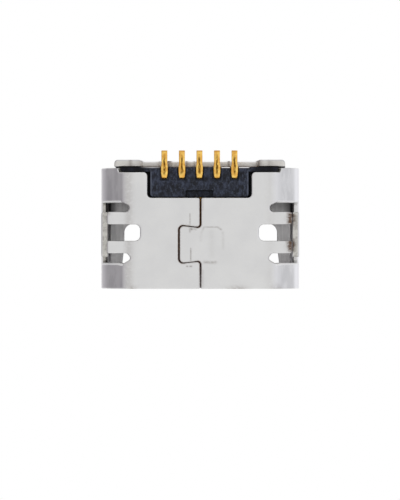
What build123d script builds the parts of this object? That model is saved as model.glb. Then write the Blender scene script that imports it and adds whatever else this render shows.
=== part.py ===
from build123d import *
import os
from math import atan2, degrees, hypot, radians, tan

# Charging port connector that is soldered flat on a circuit board, in millimetres.
# The board's face is z = 0, the mouth's rim is y = 0 and opens towards -Y, and x = 0 is the middle.

# Mouth opening: a rectangle whose two lower corners are bevelled
opening_width = 6.90
opening_height = 1.85
opening_floor_width = 5.40
bevel_height = 1.00

# Sheet metal of the shell, with the inside radius of its bends
sheet = 0.25
floor_bend_radius = 0.12
wall_bend_radius = 0.22
corner_bend_radius = 0.10

# Length of the side walls behind the rim, and how far short of it the floor ends
wall_length = 4.50
floor_recess = 0.17
floor_step_half_width = 2.95
floor_corner_radius = 0.15

# Seam in the floor, with the dovetail tongue that locks it
seam_x = -0.04
seam_gap = 0.03
dovetail_reach = 0.80
dovetail_front = 1.03
dovetail_neck = 1.24
dovetail_flare = 0.09
dovetail_radius = 0.16
dovetail_root_radius = 0.12

# Lances in each bevel: front slot, tab, middle slot, tab and rear slot, one behind the other
lance_front = 0.92
front_slot_width = 0.40
tab_width = 0.46
middle_slot_width = 0.61
rear_slot_width = 0.35
slot_tip_x = 2.535
slot_cheek_x = 2.69
slot_shoulder_x = 2.80
slot_tip_radius = 0.10
slot_shoulder_radius = 0.20
middle_slot_end_x = 2.20
middle_slot_radius = 0.20
lance_top_radius = 0.12
tab_reach = 0.77
tab_corner_radius = 0.08
leg_front_gap = 0.26
leg_corner_radius = 0.15
lance_cut = 0.02

# Latch windows in the ceiling, which widen from their waist to their front
latch_inner_x = 1.95
latch_front_x = 2.98
latch_rear_x = 2.89
latch_front = 0.85
latch_length = 1.57
latch_waist_length = 0.75
latch_radius = 0.20
latch_front_radius = 0.12
latch_rear_radius = 0.32

# Flap that is folded down from the ceiling behind the insulator
flap_width = 6.30
flap_gap = 0.01
flap_bend_radius = 0.10
flap_wing_width = 0.98
flap_wing_end_z = 0.30
flap_middle_end_z = 0.70
flap_corner_radius = 0.10
flap_side_radius = 0.12
relief_width = 0.15
relief_depth = 0.10

# Contacts
contact_count = 5
pitch = 0.65
strip = 0.13
blade_width = 0.40
blade_proud = 0.03
blade_setback = 0.25
inner_blade_setback = 0.40
contact_bend_radius = 0.08
contact_drop_inset = 0.46
contact_neck = 0.15
drop_width = 0.19
tail_root_width = 0.26
tail_root_taper = 0.26
tail_root_length = 0.53
tail_width = 0.22
tail_reach = 0.37

# Insulator
tongue_headroom = 0.38
tongue_thickness = 0.60
tongue_edge = 0.35
tongue_tip_y = 0.80
tongue_chamfer = 0.08
body_front_gap = 0.02
side_clearance = 0.02
block_edge = 0.385
block_clearance = 0.115
block_front_gap = 0.04
block_corner_radius = 0.10
block_lift = 0.03
block_length = 1.09
notch_width = 1.04
notch_depth = 0.24
flange_gap = 0.02
tail_slot_gap = 0.04

# Levels and half widths of the shell
wall_x = opening_width / 2
shell_x = wall_x + sheet
floor_x = opening_floor_width / 2
ceiling_z = sheet + opening_height
shell_top_z = ceiling_z + sheet
bevel_top_z = sheet + bevel_height

# Bend lines at the two edges of a bevel, and the length of sheet between them
bevel_run = wall_x - floor_x
bevel_angle = degrees(atan2(bevel_height, bevel_run))
floor_setback = floor_bend_radius * tan(radians(bevel_angle / 2))
wall_setback = wall_bend_radius * tan(radians((90 - bevel_angle) / 2))
floor_bend_x = floor_x - floor_setback
wall_bend_z = bevel_top_z + wall_setback
bevel_flat = hypot(bevel_run, bevel_height) - floor_setback - wall_setback
floor_bend_length = (floor_bend_radius + sheet / 2) * radians(bevel_angle)
wall_bend_length = (wall_bend_radius + sheet / 2) * radians(90 - bevel_angle)
bevel_length = bevel_flat + floor_bend_length + wall_bend_length

# Rear edge of the floor, and rear of the dovetail's neck
floor_rear_y = wall_length - floor_recess
dovetail_rear = dovetail_front + dovetail_neck

# Places of the lances, from the rim to the rear
front_tab_y = lance_front + front_slot_width
middle_slot_y = front_tab_y + tab_width
rear_tab_y = middle_slot_y + middle_slot_width
rear_slot_y = rear_tab_y + tab_width
lance_rear = rear_slot_y + rear_slot_width
leg_front = lance_front + leg_front_gap
leg_end_z = wall_bend_z - (bevel_length - tab_reach - lance_cut)

# Flap and relief notches
flap_inner_y = wall_length + flap_gap
flap_outer_y = flap_inner_y + sheet
flap_bend_y = flap_inner_y - flap_bend_radius
flap_x = flap_width / 2
flap_middle_x = flap_x - flap_wing_width
relief_y = flap_bend_y - relief_depth

# Tongue, contact row and the block that carries the tails
row_x = pitch * (contact_count - 1) / 2
tongue_x = row_x + blade_width / 2 + tongue_edge
tongue_top_z = ceiling_z - tongue_headroom
tongue_bottom_z = tongue_top_z - tongue_thickness
block_x = row_x + tail_root_width / 2 + block_edge
cutout_x = block_x + block_clearance
block_front_y = flap_inner_y - block_length
cutout_y = block_front_y - block_front_gap
body_front_y = cutout_y + body_front_gap
contact_drop_y = flap_inner_y - contact_drop_inset
tail_end_y = flap_outer_y + tail_reach
tail_root_end_y = contact_drop_y + tail_root_length


def opening_corners(side_gap=0.0):
    """Corners of the mouth's outline, anticlockwise from the floor, drawn in at the sides."""
    return [
        (-floor_x + side_gap, sheet),
        (floor_x - side_gap, sheet),
        (wall_x - side_gap, bevel_top_z),
        (wall_x - side_gap, ceiling_z),
        (-wall_x + side_gap, ceiling_z),
        (-wall_x + side_gap, bevel_top_z),
    ]


def opening_radii(side_gap=0.0):
    """Inside radii of the bends at those corners."""
    floor_radius = floor_bend_radius + side_gap
    wall_radius = wall_bend_radius + side_gap
    corner_radius = corner_bend_radius + side_gap
    return [floor_radius, floor_radius, wall_radius, corner_radius, corner_radius, wall_radius]


# Flap of the shell: a strip bent down from the ceiling, with a wing at each end of its lower edge
with BuildPart() as flap:
    with BuildSketch(Plane.YZ):
        with BuildLine():
            FilletPolyline(
                (relief_y, ceiling_z),
                (flap_inner_y, ceiling_z),
                (flap_inner_y, flap_wing_end_z),
                (flap_outer_y, flap_wing_end_z),
                (flap_outer_y, shell_top_z),
                (relief_y, shell_top_z),
                radius=[0, flap_bend_radius, 0, 0, flap_bend_radius + sheet, 0],
                close=True,
            )
        make_face()
    extrude(amount=flap_x, both=True)
    with BuildSketch(Plane.XZ.offset(-relief_y)):
        with BuildLine():
            FilletPolyline(
                (-flap_x, shell_top_z),
                (-flap_x, flap_wing_end_z),
                (-flap_middle_x, flap_wing_end_z),
                (-flap_middle_x, flap_middle_end_z),
                (flap_middle_x, flap_middle_end_z),
                (flap_middle_x, flap_wing_end_z),
                (flap_x, flap_wing_end_z),
                (flap_x, shell_top_z),
                radius=[0] + [flap_corner_radius] * 6 + [0],
                close=True,
            )
        make_face()
    extrude(amount=-(flap_outer_y - relief_y), mode=Mode.INTERSECT)
    with BuildSketch(Plane.XY.offset(flap_wing_end_z)):
        with BuildLine():
            FilletPolyline(
                (-flap_x, relief_y),
                (-flap_x, flap_outer_y),
                (flap_x, flap_outer_y),
                (flap_x, relief_y),
                radius=[0, flap_side_radius, flap_side_radius, 0],
                close=True,
            )
        make_face()
    extrude(amount=shell_top_z - flap_wing_end_z, mode=Mode.INTERSECT)

# Shell: one folded sheet, closed at the seam in its floor
with BuildPart() as shell:
    # Folded tube
    with BuildSketch(Plane.XZ):
        with BuildLine():
            FilletPolyline(*opening_corners(), radius=opening_radii(), close=True)
        make_face()
        offset(amount=sheet)
        with BuildLine():
            FilletPolyline(*opening_corners(), radius=opening_radii(), close=True)
        make_face(mode=Mode.SUBTRACT)
    extrude(amount=-wall_length)

    # Rear edge of the floor, with the cut-out round the block that carries the tails
    with BuildSketch():
        with BuildLine():
            FilletPolyline(
                (-floor_step_half_width, wall_length + sheet),
                (-floor_step_half_width, floor_rear_y),
                (-cutout_x, floor_rear_y),
                (-cutout_x, cutout_y),
                (cutout_x, cutout_y),
                (cutout_x, floor_rear_y),
                (floor_step_half_width, floor_rear_y),
                (floor_step_half_width, wall_length + sheet),
                radius=[0] + [floor_corner_radius] * 6 + [0],
                close=True,
            )
        make_face()
    extrude(amount=bevel_top_z, mode=Mode.SUBTRACT)

    # Seam with its dovetail
    with BuildSketch():
        with BuildLine():
            seam = FilletPolyline(
                (seam_x, -sheet),
                (seam_x, dovetail_front),
                (seam_x + dovetail_reach, dovetail_front - dovetail_flare),
                (seam_x + dovetail_reach, dovetail_rear + dovetail_flare),
                (seam_x, dovetail_rear),
                (seam_x, cutout_y + sheet),
                radius=[dovetail_root_radius, dovetail_radius, dovetail_radius, dovetail_root_radius],
            )
        trace(seam, line_width=seam_gap)
    extrude(amount=sheet, mode=Mode.SUBTRACT)

    # The lanced stretch of each bevel is opened, and its sheet lies straight as two tabs and a leg
    for side in (-1, 1):
        with BuildSketch(Plane.YZ.offset(side * slot_shoulder_x)):
            with BuildLine():
                FilletPolyline(
                    (lance_front, -sheet),
                    (lance_rear, -sheet),
                    (lance_rear, wall_bend_z),
                    (lance_front, wall_bend_z),
                    radius=[0, 0, lance_top_radius, lance_top_radius],
                    close=True,
                )
            make_face()
        extrude(amount=side * (shell_x - slot_shoulder_x + sheet), mode=Mode.SUBTRACT)

        # Along the tabs the opening starts at the floor's bend
        with BuildSketch():
            with Locations((side * floor_bend_x, front_tab_y)):
                Rectangle(
                    slot_shoulder_x - floor_bend_x,
                    rear_slot_y - front_tab_y,
                    align=(Align.MIN if side > 0 else Align.MAX, Align.MIN),
                )
        extrude(amount=bevel_top_z, mode=Mode.SUBTRACT)

        with BuildSketch(Plane.YZ.offset(side * wall_x)):
            with BuildLine():
                FilletPolyline(
                    (leg_front, leg_end_z),
                    (rear_slot_y, leg_end_z),
                    (rear_slot_y, wall_bend_z),
                    (leg_front, wall_bend_z),
                    radius=[leg_corner_radius, leg_corner_radius, 0, 0],
                    close=True,
                )
            make_face()
        extrude(amount=side * sheet)

        with BuildSketch():
            for tab_y in (front_tab_y, rear_tab_y):
                tab_end_x = side * (floor_bend_x + tab_reach)
                with BuildLine():
                    FilletPolyline(
                        (side * floor_bend_x, tab_y),
                        (tab_end_x, tab_y),
                        (tab_end_x, tab_y + tab_width),
                        (side * floor_bend_x, tab_y + tab_width),
                        radius=[0, tab_corner_radius, tab_corner_radius, 0],
                        close=True,
                    )
                make_face()
        extrude(amount=sheet)

    # Slots beside the tabs run on into the floor: the two outer ones end in a blunt point
    with BuildSketch():
        for tab_edge_y, bevel_edge_y in ((front_tab_y, lance_front), (rear_slot_y, lance_rear)):
            with BuildLine():
                FilletPolyline(
                    (wall_x, tab_edge_y),
                    (slot_cheek_x, tab_edge_y),
                    (slot_tip_x, (tab_edge_y + bevel_edge_y) / 2),
                    (slot_shoulder_x, bevel_edge_y),
                    (wall_x, bevel_edge_y),
                    radius=[0, slot_tip_radius, slot_tip_radius, slot_shoulder_radius, 0],
                    close=True,
                )
            make_face()
        with BuildLine():
            FilletPolyline(
                (wall_x, middle_slot_y),
                (middle_slot_end_x, middle_slot_y),
                (middle_slot_end_x, rear_tab_y),
                (wall_x, rear_tab_y),
                radius=[0, middle_slot_radius, middle_slot_radius, 0],
                close=True,
            )
        make_face()
        mirror(about=Plane.YZ)
    extrude(amount=bevel_top_z, mode=Mode.SUBTRACT)

    # Latch windows
    with BuildSketch(Plane.XY.offset(ceiling_z)):
        with BuildLine():
            FilletPolyline(
                (latch_inner_x, latch_front),
                (latch_front_x, latch_front),
                (latch_rear_x, latch_front + latch_waist_length),
                (latch_rear_x, latch_front + latch_length),
                (latch_inner_x, latch_front + latch_length),
                radius=[latch_radius, latch_front_radius, 0, latch_rear_radius, latch_radius],
                close=True,
            )
        make_face()
        mirror(about=Plane.YZ)
    extrude(amount=sheet, mode=Mode.SUBTRACT)

    # Room for the flap's bend and the relief notches beside it
    with BuildSketch(Plane.XY.offset(ceiling_z)):
        with Locations((0, relief_y)):
            Rectangle(
                flap_width + 2 * relief_width,
                wall_length - relief_y + sheet,
                align=(Align.CENTER, Align.MIN),
            )
    extrude(amount=sheet, mode=Mode.SUBTRACT)

    add(flap.part)


def make_contact(number):
    """One stamped contact: blade under the tongue, drop through the body, tail on the board."""
    centre_x = (number - (contact_count + 1) / 2) * pitch
    outermost = number in (1, contact_count)
    blade_front_y = tongue_tip_y + blade_setback + (0 if outermost else inner_blade_setback)
    blade_z = tongue_bottom_z - blade_proud
    outer_radius = contact_bend_radius + strip
    neck_y = contact_drop_y - contact_neck
    with BuildPart() as contact:
        # Strip as seen from the side
        with BuildSketch(Plane.YZ.offset(centre_x)):
            with BuildLine():
                FilletPolyline(
                    (blade_front_y, blade_z),
                    (contact_drop_y, blade_z),
                    (contact_drop_y, 0),
                    (tail_end_y, 0),
                    (tail_end_y, strip),
                    (contact_drop_y + strip, strip),
                    (contact_drop_y + strip, blade_z + strip),
                    (blade_front_y, blade_z + strip),
                    radius=[0, contact_bend_radius, outer_radius, 0, 0, contact_bend_radius, outer_radius, 0],
                    close=True,
                )
            make_face()
        extrude(amount=blade_width / 2, both=True)

        # Widths as seen from above: blade, drop, root that widens from the drop, and tail
        right_edge = [
            (blade_width / 2, blade_front_y),
            (blade_width / 2, neck_y),
            (drop_width / 2, neck_y),
            (drop_width / 2, contact_drop_y),
            (tail_root_width / 2, contact_drop_y + tail_root_taper),
            (tail_root_width / 2, tail_root_end_y),
            (tail_width / 2, tail_root_end_y),
            (tail_width / 2, tail_end_y),
        ]
        left_edge = [(-x, y) for x, y in reversed(right_edge)]
        with BuildSketch(Plane(origin=(centre_x, 0, 0))):
            with BuildLine():
                Polyline(*right_edge, *left_edge, close=True)
            make_face()
        extrude(amount=ceiling_z, mode=Mode.INTERSECT)
    contact.part.label = f"contact_{number}"
    return contact


contacts = [make_contact(number) for number in range(1, contact_count + 1)]

# Flange of the insulator: fills the step behind the floor's rear edge, within the shell's outline
with BuildPart() as flange:
    flange_y = floor_rear_y + flange_gap
    flange_x = floor_step_half_width - flange_gap
    with BuildSketch(Plane.XZ.offset(-flange_y)):
        with BuildLine():
            FilletPolyline(*opening_corners(), radius=opening_radii(), close=True)
        make_face()
        offset(amount=sheet - block_lift)
    extrude(amount=-(flap_inner_y - flange_y))
    with BuildSketch():
        with BuildLine():
            FilletPolyline(
                (-flange_x, flap_inner_y),
                (-flange_x, flange_y),
                (flange_x, flange_y),
                (flange_x, flap_inner_y),
                radius=[0, floor_corner_radius, floor_corner_radius, 0],
                close=True,
            )
        make_face()
    extrude(amount=bevel_top_z, mode=Mode.INTERSECT)

# Insulator: one moulding with the tongue, moulded round the contacts
with BuildPart() as insulator:
    # Body that fills the rear of the shell
    with BuildSketch(Plane.XZ.offset(-body_front_y)):
        with BuildLine():
            FilletPolyline(*opening_corners(side_clearance), radius=opening_radii(side_clearance), close=True)
        make_face()
    extrude(amount=-(flap_inner_y - body_front_y))

    # Bevel that clears the inside of the flap's bend
    with BuildSketch(Plane.YZ):
        with BuildLine():
            Polyline(
                (flap_bend_y, ceiling_z),
                (flap_inner_y, ceiling_z - flap_bend_radius),
                (flap_inner_y, ceiling_z),
                close=True,
            )
        make_face()
    extrude(amount=wall_x, both=True, mode=Mode.SUBTRACT)

    # Tongue, with its tip bevelled all round
    with BuildSketch(Plane.XY.offset(tongue_bottom_z)):
        with Locations((0, tongue_tip_y)):
            Rectangle(2 * tongue_x, body_front_y - tongue_tip_y, align=(Align.CENTER, Align.MIN))
    extrude(amount=tongue_thickness)
    tip = insulator.faces().sort_by(Axis.Y)[0]
    chamfer(tip.edges(), length=tongue_chamfer)

    # Block in the floor's cut-out, with a notch in its front
    with BuildSketch(Plane.XY.offset(block_lift)):
        with BuildLine():
            FilletPolyline(
                (-block_x, flap_inner_y),
                (-block_x, block_front_y),
                (block_x, block_front_y),
                (block_x, flap_inner_y),
                radius=[0, block_corner_radius, block_corner_radius, 0],
                close=True,
            )
        make_face()
        with Locations((0, block_front_y)):
            Rectangle(notch_width, notch_depth, align=(Align.CENTER, Align.MIN), mode=Mode.SUBTRACT)
    extrude(amount=sheet - block_lift)

    add(flange.part)

    # Slots that the tails lie in
    with BuildSketch(Plane.XY.offset(block_lift)):
        for contact in contacts:
            with Locations((contact.part.center(CenterOf.BOUNDING_BOX).X, contact_drop_y - tail_slot_gap)):
                Rectangle(
                    tail_root_width + 2 * tail_slot_gap,
                    flap_inner_y - contact_drop_y + tail_slot_gap,
                    align=(Align.CENTER, Align.MIN),
                )
    extrude(amount=strip - block_lift, mode=Mode.SUBTRACT)

    # Beds of the contacts
    for contact in contacts:
        add(contact.part, mode=Mode.SUBTRACT)

shell.part.label = "shell"
insulator.part.label = "insulator"

os.makedirs("parts", exist_ok=True)
export_step(shell.part, "parts/shell.step")
export_step(insulator.part, "parts/insulator.step")
for contact in contacts:
    export_step(contact.part, f"parts/{contact.part.label}.step")
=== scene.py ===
import math

import bmesh
import bpy
import numpy as np
from mathutils import Matrix, Vector, geometry


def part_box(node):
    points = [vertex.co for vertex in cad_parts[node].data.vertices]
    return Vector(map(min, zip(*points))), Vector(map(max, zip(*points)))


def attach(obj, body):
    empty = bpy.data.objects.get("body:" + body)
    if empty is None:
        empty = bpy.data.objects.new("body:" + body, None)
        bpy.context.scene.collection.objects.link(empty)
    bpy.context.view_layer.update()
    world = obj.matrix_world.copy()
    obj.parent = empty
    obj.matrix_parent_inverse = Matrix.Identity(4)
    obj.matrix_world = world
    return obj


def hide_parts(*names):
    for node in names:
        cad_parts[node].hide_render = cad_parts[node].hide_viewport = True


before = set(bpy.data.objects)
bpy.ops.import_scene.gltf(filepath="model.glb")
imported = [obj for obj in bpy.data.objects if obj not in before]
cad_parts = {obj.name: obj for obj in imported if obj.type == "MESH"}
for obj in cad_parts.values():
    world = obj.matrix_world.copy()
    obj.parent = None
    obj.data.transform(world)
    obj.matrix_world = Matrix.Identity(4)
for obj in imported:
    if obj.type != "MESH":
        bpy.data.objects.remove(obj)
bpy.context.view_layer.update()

# Shapes are worked out in millimetres and turned into metres as each mesh is made.
MM = 0.001


def node_box(name):
    """Lowest and highest corner of a CAD node, in millimetres."""
    low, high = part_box(name)
    return np.array(low) / MM, np.array(high) / MM


SHELL_HIGH = node_box("shell")[1]
INSULATOR_LOW = node_box("insulator")[0]

# Folded sheet
SHEET = 0.25
FLOOR_BEND = 0.12
WALL_BEND = 0.22
CORNER_BEND = 0.10
FLOOR_X = 2.70
BEVEL_HEIGHT = 1.00
WALL_X = SHELL_HIGH[0] - SHEET
CEILING_Z = SHELL_HIGH[2] - SHEET
FLAP_INNER_Y = SHELL_HIGH[1] - SHEET
WALL_LENGTH = FLAP_INNER_Y - 0.01
FLOOR_REAR_Y = WALL_LENGTH - 0.17
STEP_X = 2.95
CUTOUT_X = 1.93
CUTOUT_Y = 3.38
FLOOR_RADIUS = 0.15
STEP_RADIUS = 0.10
SMALL_RADIUS = 0.06

# Seam with its dovetail; the gap is narrower where the dovetail locks and at the rim
SEAM_X = -0.04
SEAM_GAP = 0.014
LOCK_GAP = 0.012
TIGHT_GAP = 0.006
RIM_GAP = 0.005
DOVETAIL_REACH = 0.80
DOVETAIL_FRONT = 1.03
DOVETAIL_REAR = 2.27
DOVETAIL_FLARE = 0.09
DOVETAIL_RADIUS = 0.16
ROOT_RADIUS = 0.12

# Lances in the bevels
LANCE_FRONT = 0.925
LANCE_LEDGE = 0.965
LEDGE_X = 3.05
FRONT_TAB_Y = 1.32
MIDDLE_SLOT_Y = 1.78
REAR_TAB_Y = 2.39
REAR_SLOT_Y = 2.85
LANCE_REAR = 3.20
LEG_FRONT = 1.18
SHORT_SLOT_X = 2.535
REAR_SLOT_X = 2.51
SHOULDER_X = 2.80
CHEEK_X = 2.69
LONG_SLOT_X = 2.20
TAB_REACH = 0.785
LANCE_CUT = 0.02
MIDDLE_SLOT_RADIUS = 0.20
SLOT_TIP_RADIUS = 0.10
REAR_TIP_RADIUS = 0.15
SHOULDER_RADIUS = 0.20
LEDGE_RADIUS = 0.30
LANCE_TOP_RADIUS = 0.12
TAB_RADIUS = 0.08
LEG_RADIUS = 0.15
LEG_LEAN = 0.04

# Latch window in the ceiling, as (x, y, radius) corners
LATCH_WINDOW = [
    (1.95, 0.85, 0.20),
    (1.95, 2.42, 0.20),
    (2.88, 2.42, 0.32),
    (2.88, 1.60, 1.0),
    (2.965, 0.85, 0.12),
]

# Flap; its wings stand proud of its middle, and their outer ends are rounded over
FLAP_X = 3.18
FLAP_MIDDLE_X = 2.17
FLAP_WING_Z = 0.30
FLAP_MIDDLE_Z = 0.70
FLAP_BEND = 0.10
WING_RADIUS = 0.12
WING_STEP_RADIUS = 0.10
WING_PROUD = 0.035
WING_SLOPE = 0.20
WING_PROUD_DROP = 0.5
WING_ROUND = 0.14
WING_ROUND_DROP = 0.3
RELIEF_WIDTH = 0.13
RELIEF_DEPTH = 0.10

# Rounding of the sheet's edges, outside and inside, and the height of a line along the cut edge
OUTER_ROUND = 0.05
INNER_ROUND = 0.018
LANCE_ROUND = 0.09
ROLL_MARGIN = 0.10
ROLL_STEPS = 4
EDGE_LINE = 0.08

# Spacing of the sheet's mesh: along its edges, across its faces, and finer over the marks on its floor
EDGE_STEP = 0.10
SHORTEST_STEP = 0.009
FACE_STEP = 0.12
EDGE_MARGIN = 0.012
FINE_STEP = 0.025
FINE_X = (-1.1, 0.9)
FINE_Y = (0.75, 2.9)
CHUNK = 2000

# Tolerance of a place on a line, and how far inside a limit a place still counts as within it
NEAR = 1e-4
MARGIN = 0.01

BEVEL_ANGLE = math.atan2(BEVEL_HEIGHT, WALL_X - FLOOR_X)
FLOOR_SETBACK = FLOOR_BEND * math.tan(BEVEL_ANGLE / 2)
WALL_SETBACK = WALL_BEND * math.tan((math.pi / 2 - BEVEL_ANGLE) / 2)
FLOOR_BEND_X = FLOOR_X - FLOOR_SETBACK
WALL_BEND_Z = SHEET + BEVEL_HEIGHT + WALL_SETBACK
BEVEL_FLAT = math.hypot(WALL_X - FLOOR_X, BEVEL_HEIGHT) - FLOOR_SETBACK - WALL_SETBACK


class Fold:
    """The sheet laid flat: u runs round the section from the middle of the ceiling, v runs along Y."""

    def __init__(self):
        # Each stretch of one half of the section: length of a flat, or angle and inside radius of a bend
        self.runs = [
            ("ceiling", WALL_X - CORNER_BEND, 0, 0),
            ("corner", 0, math.pi / 2, CORNER_BEND),
            ("wall", CEILING_Z - CORNER_BEND - WALL_BEND_Z, 0, 0),
            ("upper_bend", 0, math.pi / 2 - BEVEL_ANGLE, WALL_BEND),
            ("bevel", BEVEL_FLAT, 0, 0),
            ("lower_bend", 0, BEVEL_ANGLE, FLOOR_BEND),
            ("floor", 2 * FLOOR_BEND_X, 0, 0),
        ]
        self.start = {}
        u, place, heading = 0.0, np.array([0.0, CEILING_Z]), 0.0
        for name, length, angle, radius in self.runs:
            self.start[name] = (u, place, heading)
            if angle:
                length = (radius + SHEET / 2) * angle
                centre = place - radius * self.outward(heading)
                heading -= angle
                place = centre + radius * self.outward(heading)
            else:
                place = place + length * self.along(heading)
            u += length
        self.ends = [start[0] for start in self.start.values()][1:] + [np.inf]
        self.wall_end = self.start["upper_bend"][0]
        self.floor_start = self.start["floor"][0]
        self.flap_bend_y = FLAP_INNER_Y - FLAP_BEND
        self.flap_bend_length = (FLAP_BEND + SHEET / 2) * math.pi / 2
        self.flap_flat = self.flap_bend_y + self.flap_bend_length

    @staticmethod
    def along(heading):
        return np.array([math.cos(heading), math.sin(heading)])

    @staticmethod
    def outward(heading):
        return np.array([-math.sin(heading), math.cos(heading)])

    def floor_u(self, x, side):
        """u of a place on the floor that belongs to the half on that side."""
        return side * (self.floor_start + FLOOR_BEND_X - side * x)

    def flap_v(self, z):
        """v of a height on the flap."""
        return self.flap_flat + (CEILING_Z - FLAP_BEND - z)

    def lanced(self, s, v):
        """Which points a lance has parted from the bevel: those of a leg, and those of a tab."""
        parted = (v > LEG_FRONT - NEAR) & (v < REAR_SLOT_Y + NEAR)
        parted &= (s > self.wall_end) & (s < self.floor_start)
        leg = parted & (s < self.floor_start - TAB_REACH - LANCE_CUT / 2)
        return leg, parted & ~leg

    def section(self, s, t, leg, tab):
        """x and z on one half of the section; a leg runs on from the wall, a tab from the floor."""
        x, z = np.zeros_like(s), np.zeros_like(s)
        for (name, _, angle, radius), end in zip(self.runs, self.ends):
            u, origin, heading = self.start[name]
            here = (s >= u) & (s < end) & ~leg & ~tab
            here |= {"wall": leg, "floor": tab}.get(name, False)
            step = s[here] - u
            if angle:
                centre = origin - radius * self.outward(heading)
                turned = heading - step / (radius + SHEET / 2)
                reach = radius + t[here]
                x[here] = centre[0] - reach * np.sin(turned)
                z[here] = centre[1] + reach * np.cos(turned)
            else:
                way, out = self.along(heading), self.outward(heading)
                x[here] = origin[0] + step * way[0] + t[here] * out[0]
                z[here] = origin[1] + step * way[1] + t[here] * out[1]
        return x, z

    def on_flap(self, u, v, t):
        """Where a point past the bend of the flap lies."""
        s = np.abs(u)
        turned = np.clip((v - self.flap_bend_y) / (FLAP_BEND + SHEET / 2), 0, math.pi / 2)
        down = np.maximum(v - self.flap_flat, 0)
        reach = FLAP_BEND + t
        y = self.flap_bend_y + reach * np.sin(turned)
        z = CEILING_Z - FLAP_BEND + reach * np.cos(turned) - down
        wing = np.clip((s - FLAP_MIDDLE_X + WING_SLOPE / 2) / WING_SLOPE, 0, 1)
        wing *= np.clip(down / WING_PROUD_DROP, 0, 1)
        y += WING_PROUD * wing * wing * (3 - 2 * wing)
        end = np.clip((s - FLAP_X + WING_ROUND) / WING_ROUND, 0, 1)
        end *= np.clip(down / WING_ROUND_DROP, 0, 1)
        y -= WING_ROUND * (1 - np.sqrt(1 - end * end)) * t / SHEET
        return np.stack([u, y, z], 1)

    def place(self, u, v, t):
        """Where a point of the flat sheet lies when folded; t is its height over the inside face."""
        s = np.abs(u)
        leg, tab = self.lanced(s, v)
        x, z = self.section(s, t, leg, tab)
        x -= np.where(leg & (u > 0), LEG_LEAN * (WALL_BEND_Z - z), 0)
        x *= np.where(u < 0, -1.0, 1.0)
        flap = (s <= FLAP_X + NEAR) & (v > self.flap_bend_y)
        return np.where(flap[:, None], self.on_flap(u, v, t), np.stack([x, v, z], 1))


FOLD = Fold()


def rounded_loop(corners, turn=math.radians(9)):
    """Closed outline through (u, v, radius) corners, each radius drawn as an arc of small steps."""
    points = []
    count = len(corners)
    for i in range(count):
        here = np.array(corners[i][:2], float)
        radius = corners[i][2]
        before = np.array(corners[i - 1][:2], float) - here
        after = np.array(corners[(i + 1) % count][:2], float) - here
        before /= np.linalg.norm(before)
        after /= np.linalg.norm(after)
        opening = math.acos(np.clip(before @ after, -1, 1))
        if radius == 0 or opening > math.pi - 1e-3:
            points.append(here)
            continue
        middle = before + after
        centre = here + middle / np.linalg.norm(middle) * radius / math.sin(opening / 2)
        first = here + before * radius / math.tan(opening / 2) - centre
        sweep = math.pi - opening
        side = 1 if before[0] * after[1] - before[1] * after[0] < 0 else -1
        steps = max(2, math.ceil(sweep / turn))
        for k in range(steps + 1):
            angle = side * sweep * k / steps
            c, s = math.cos(angle), math.sin(angle)
            points.append(centre + np.array([c * first[0] - s * first[1], s * first[0] + c * first[1]]))
    return np.array(points)


def mirrored(corners):
    """The corners and then their mirror images, in reverse, so that both are one outline."""
    return corners + [(-a, b, radius) for a, b, radius in reversed(corners)]


def cut_loop(loop, us, vs):
    """The outline with extra points where it crosses the bend columns and rows, and on long edges."""
    points = []
    for p, q in zip(loop, np.roll(loop, -1, 0)):
        way = q - p
        length = np.linalg.norm(way)
        ts = {0.0}
        for axis, lines in ((0, us), (1, vs)):
            if abs(way[axis]) > 1e-9:
                crossings = (lines - p[axis]) / way[axis]
                ts.update(crossings[(crossings > 1e-3) & (crossings < 1 - 1e-3)])
        pieces = max(1, math.ceil(length / EDGE_STEP))
        ts.update(k / pieces for k in range(pieces))
        kept = []
        for t in sorted(ts):
            if not kept or (t - kept[-1]) * length > SHORTEST_STEP:
                kept.append(t)
        points += [p + t * way for t in kept]
    return np.array(points)


def inset(loop, distance):
    """The outline moved to its left by a distance, one for all or one for each point, with mitres."""
    forward = np.roll(loop, -1, 0) - loop
    forward /= np.linalg.norm(forward, axis=1)[:, None]
    back = np.roll(forward, 1, 0)
    left_f = np.stack([-forward[:, 1], forward[:, 0]], 1)
    left_b = np.stack([-back[:, 1], back[:, 0]], 1)
    middle = left_f + left_b
    middle /= (middle * left_f).sum(1)[:, None]
    return loop + middle * np.reshape(distance, (-1, 1))


def area(loop):
    """Signed area of an outline, positive when it runs anticlockwise."""
    following = np.roll(loop, -1, 0)
    return (loop[:, 0] * following[:, 1] - loop[:, 1] * following[:, 0]).sum() / 2


def chunks(points):
    """The points in parts that are small enough to set each one against a whole outline."""
    return np.array_split(points, len(points) // CHUNK + 1)


def inside(points, loops):
    """Which points lie inside the outlines, by the even-odd rule."""
    hits = np.zeros(len(points), int)
    for loop in loops:
        a, b = loop, np.roll(loop, -1, 0)
        rise = np.where(b[:, 1] == a[:, 1], 1e-12, b[:, 1] - a[:, 1])
        counts = []
        for part in chunks(points):
            x, y = part[:, 0:1], part[:, 1:2]
            spans = (a[:, 1] > y) != (b[:, 1] > y)
            cross = a[:, 0] + (y - a[:, 1]) * ((b[:, 0] - a[:, 0]) / rise)
            counts.append((spans & (x < cross)).sum(1))
        hits += np.concatenate(counts)
    return hits % 2 == 1


def clear_of(points, loops, distance):
    """Which points lie more than a distance from every point of the outlines, along one of the axes."""
    edge = np.concatenate(loops)
    gaps = [np.abs(part[:, None] - edge).max(2).min(1) for part in chunks(points)]
    return np.concatenate(gaps) > distance


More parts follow.
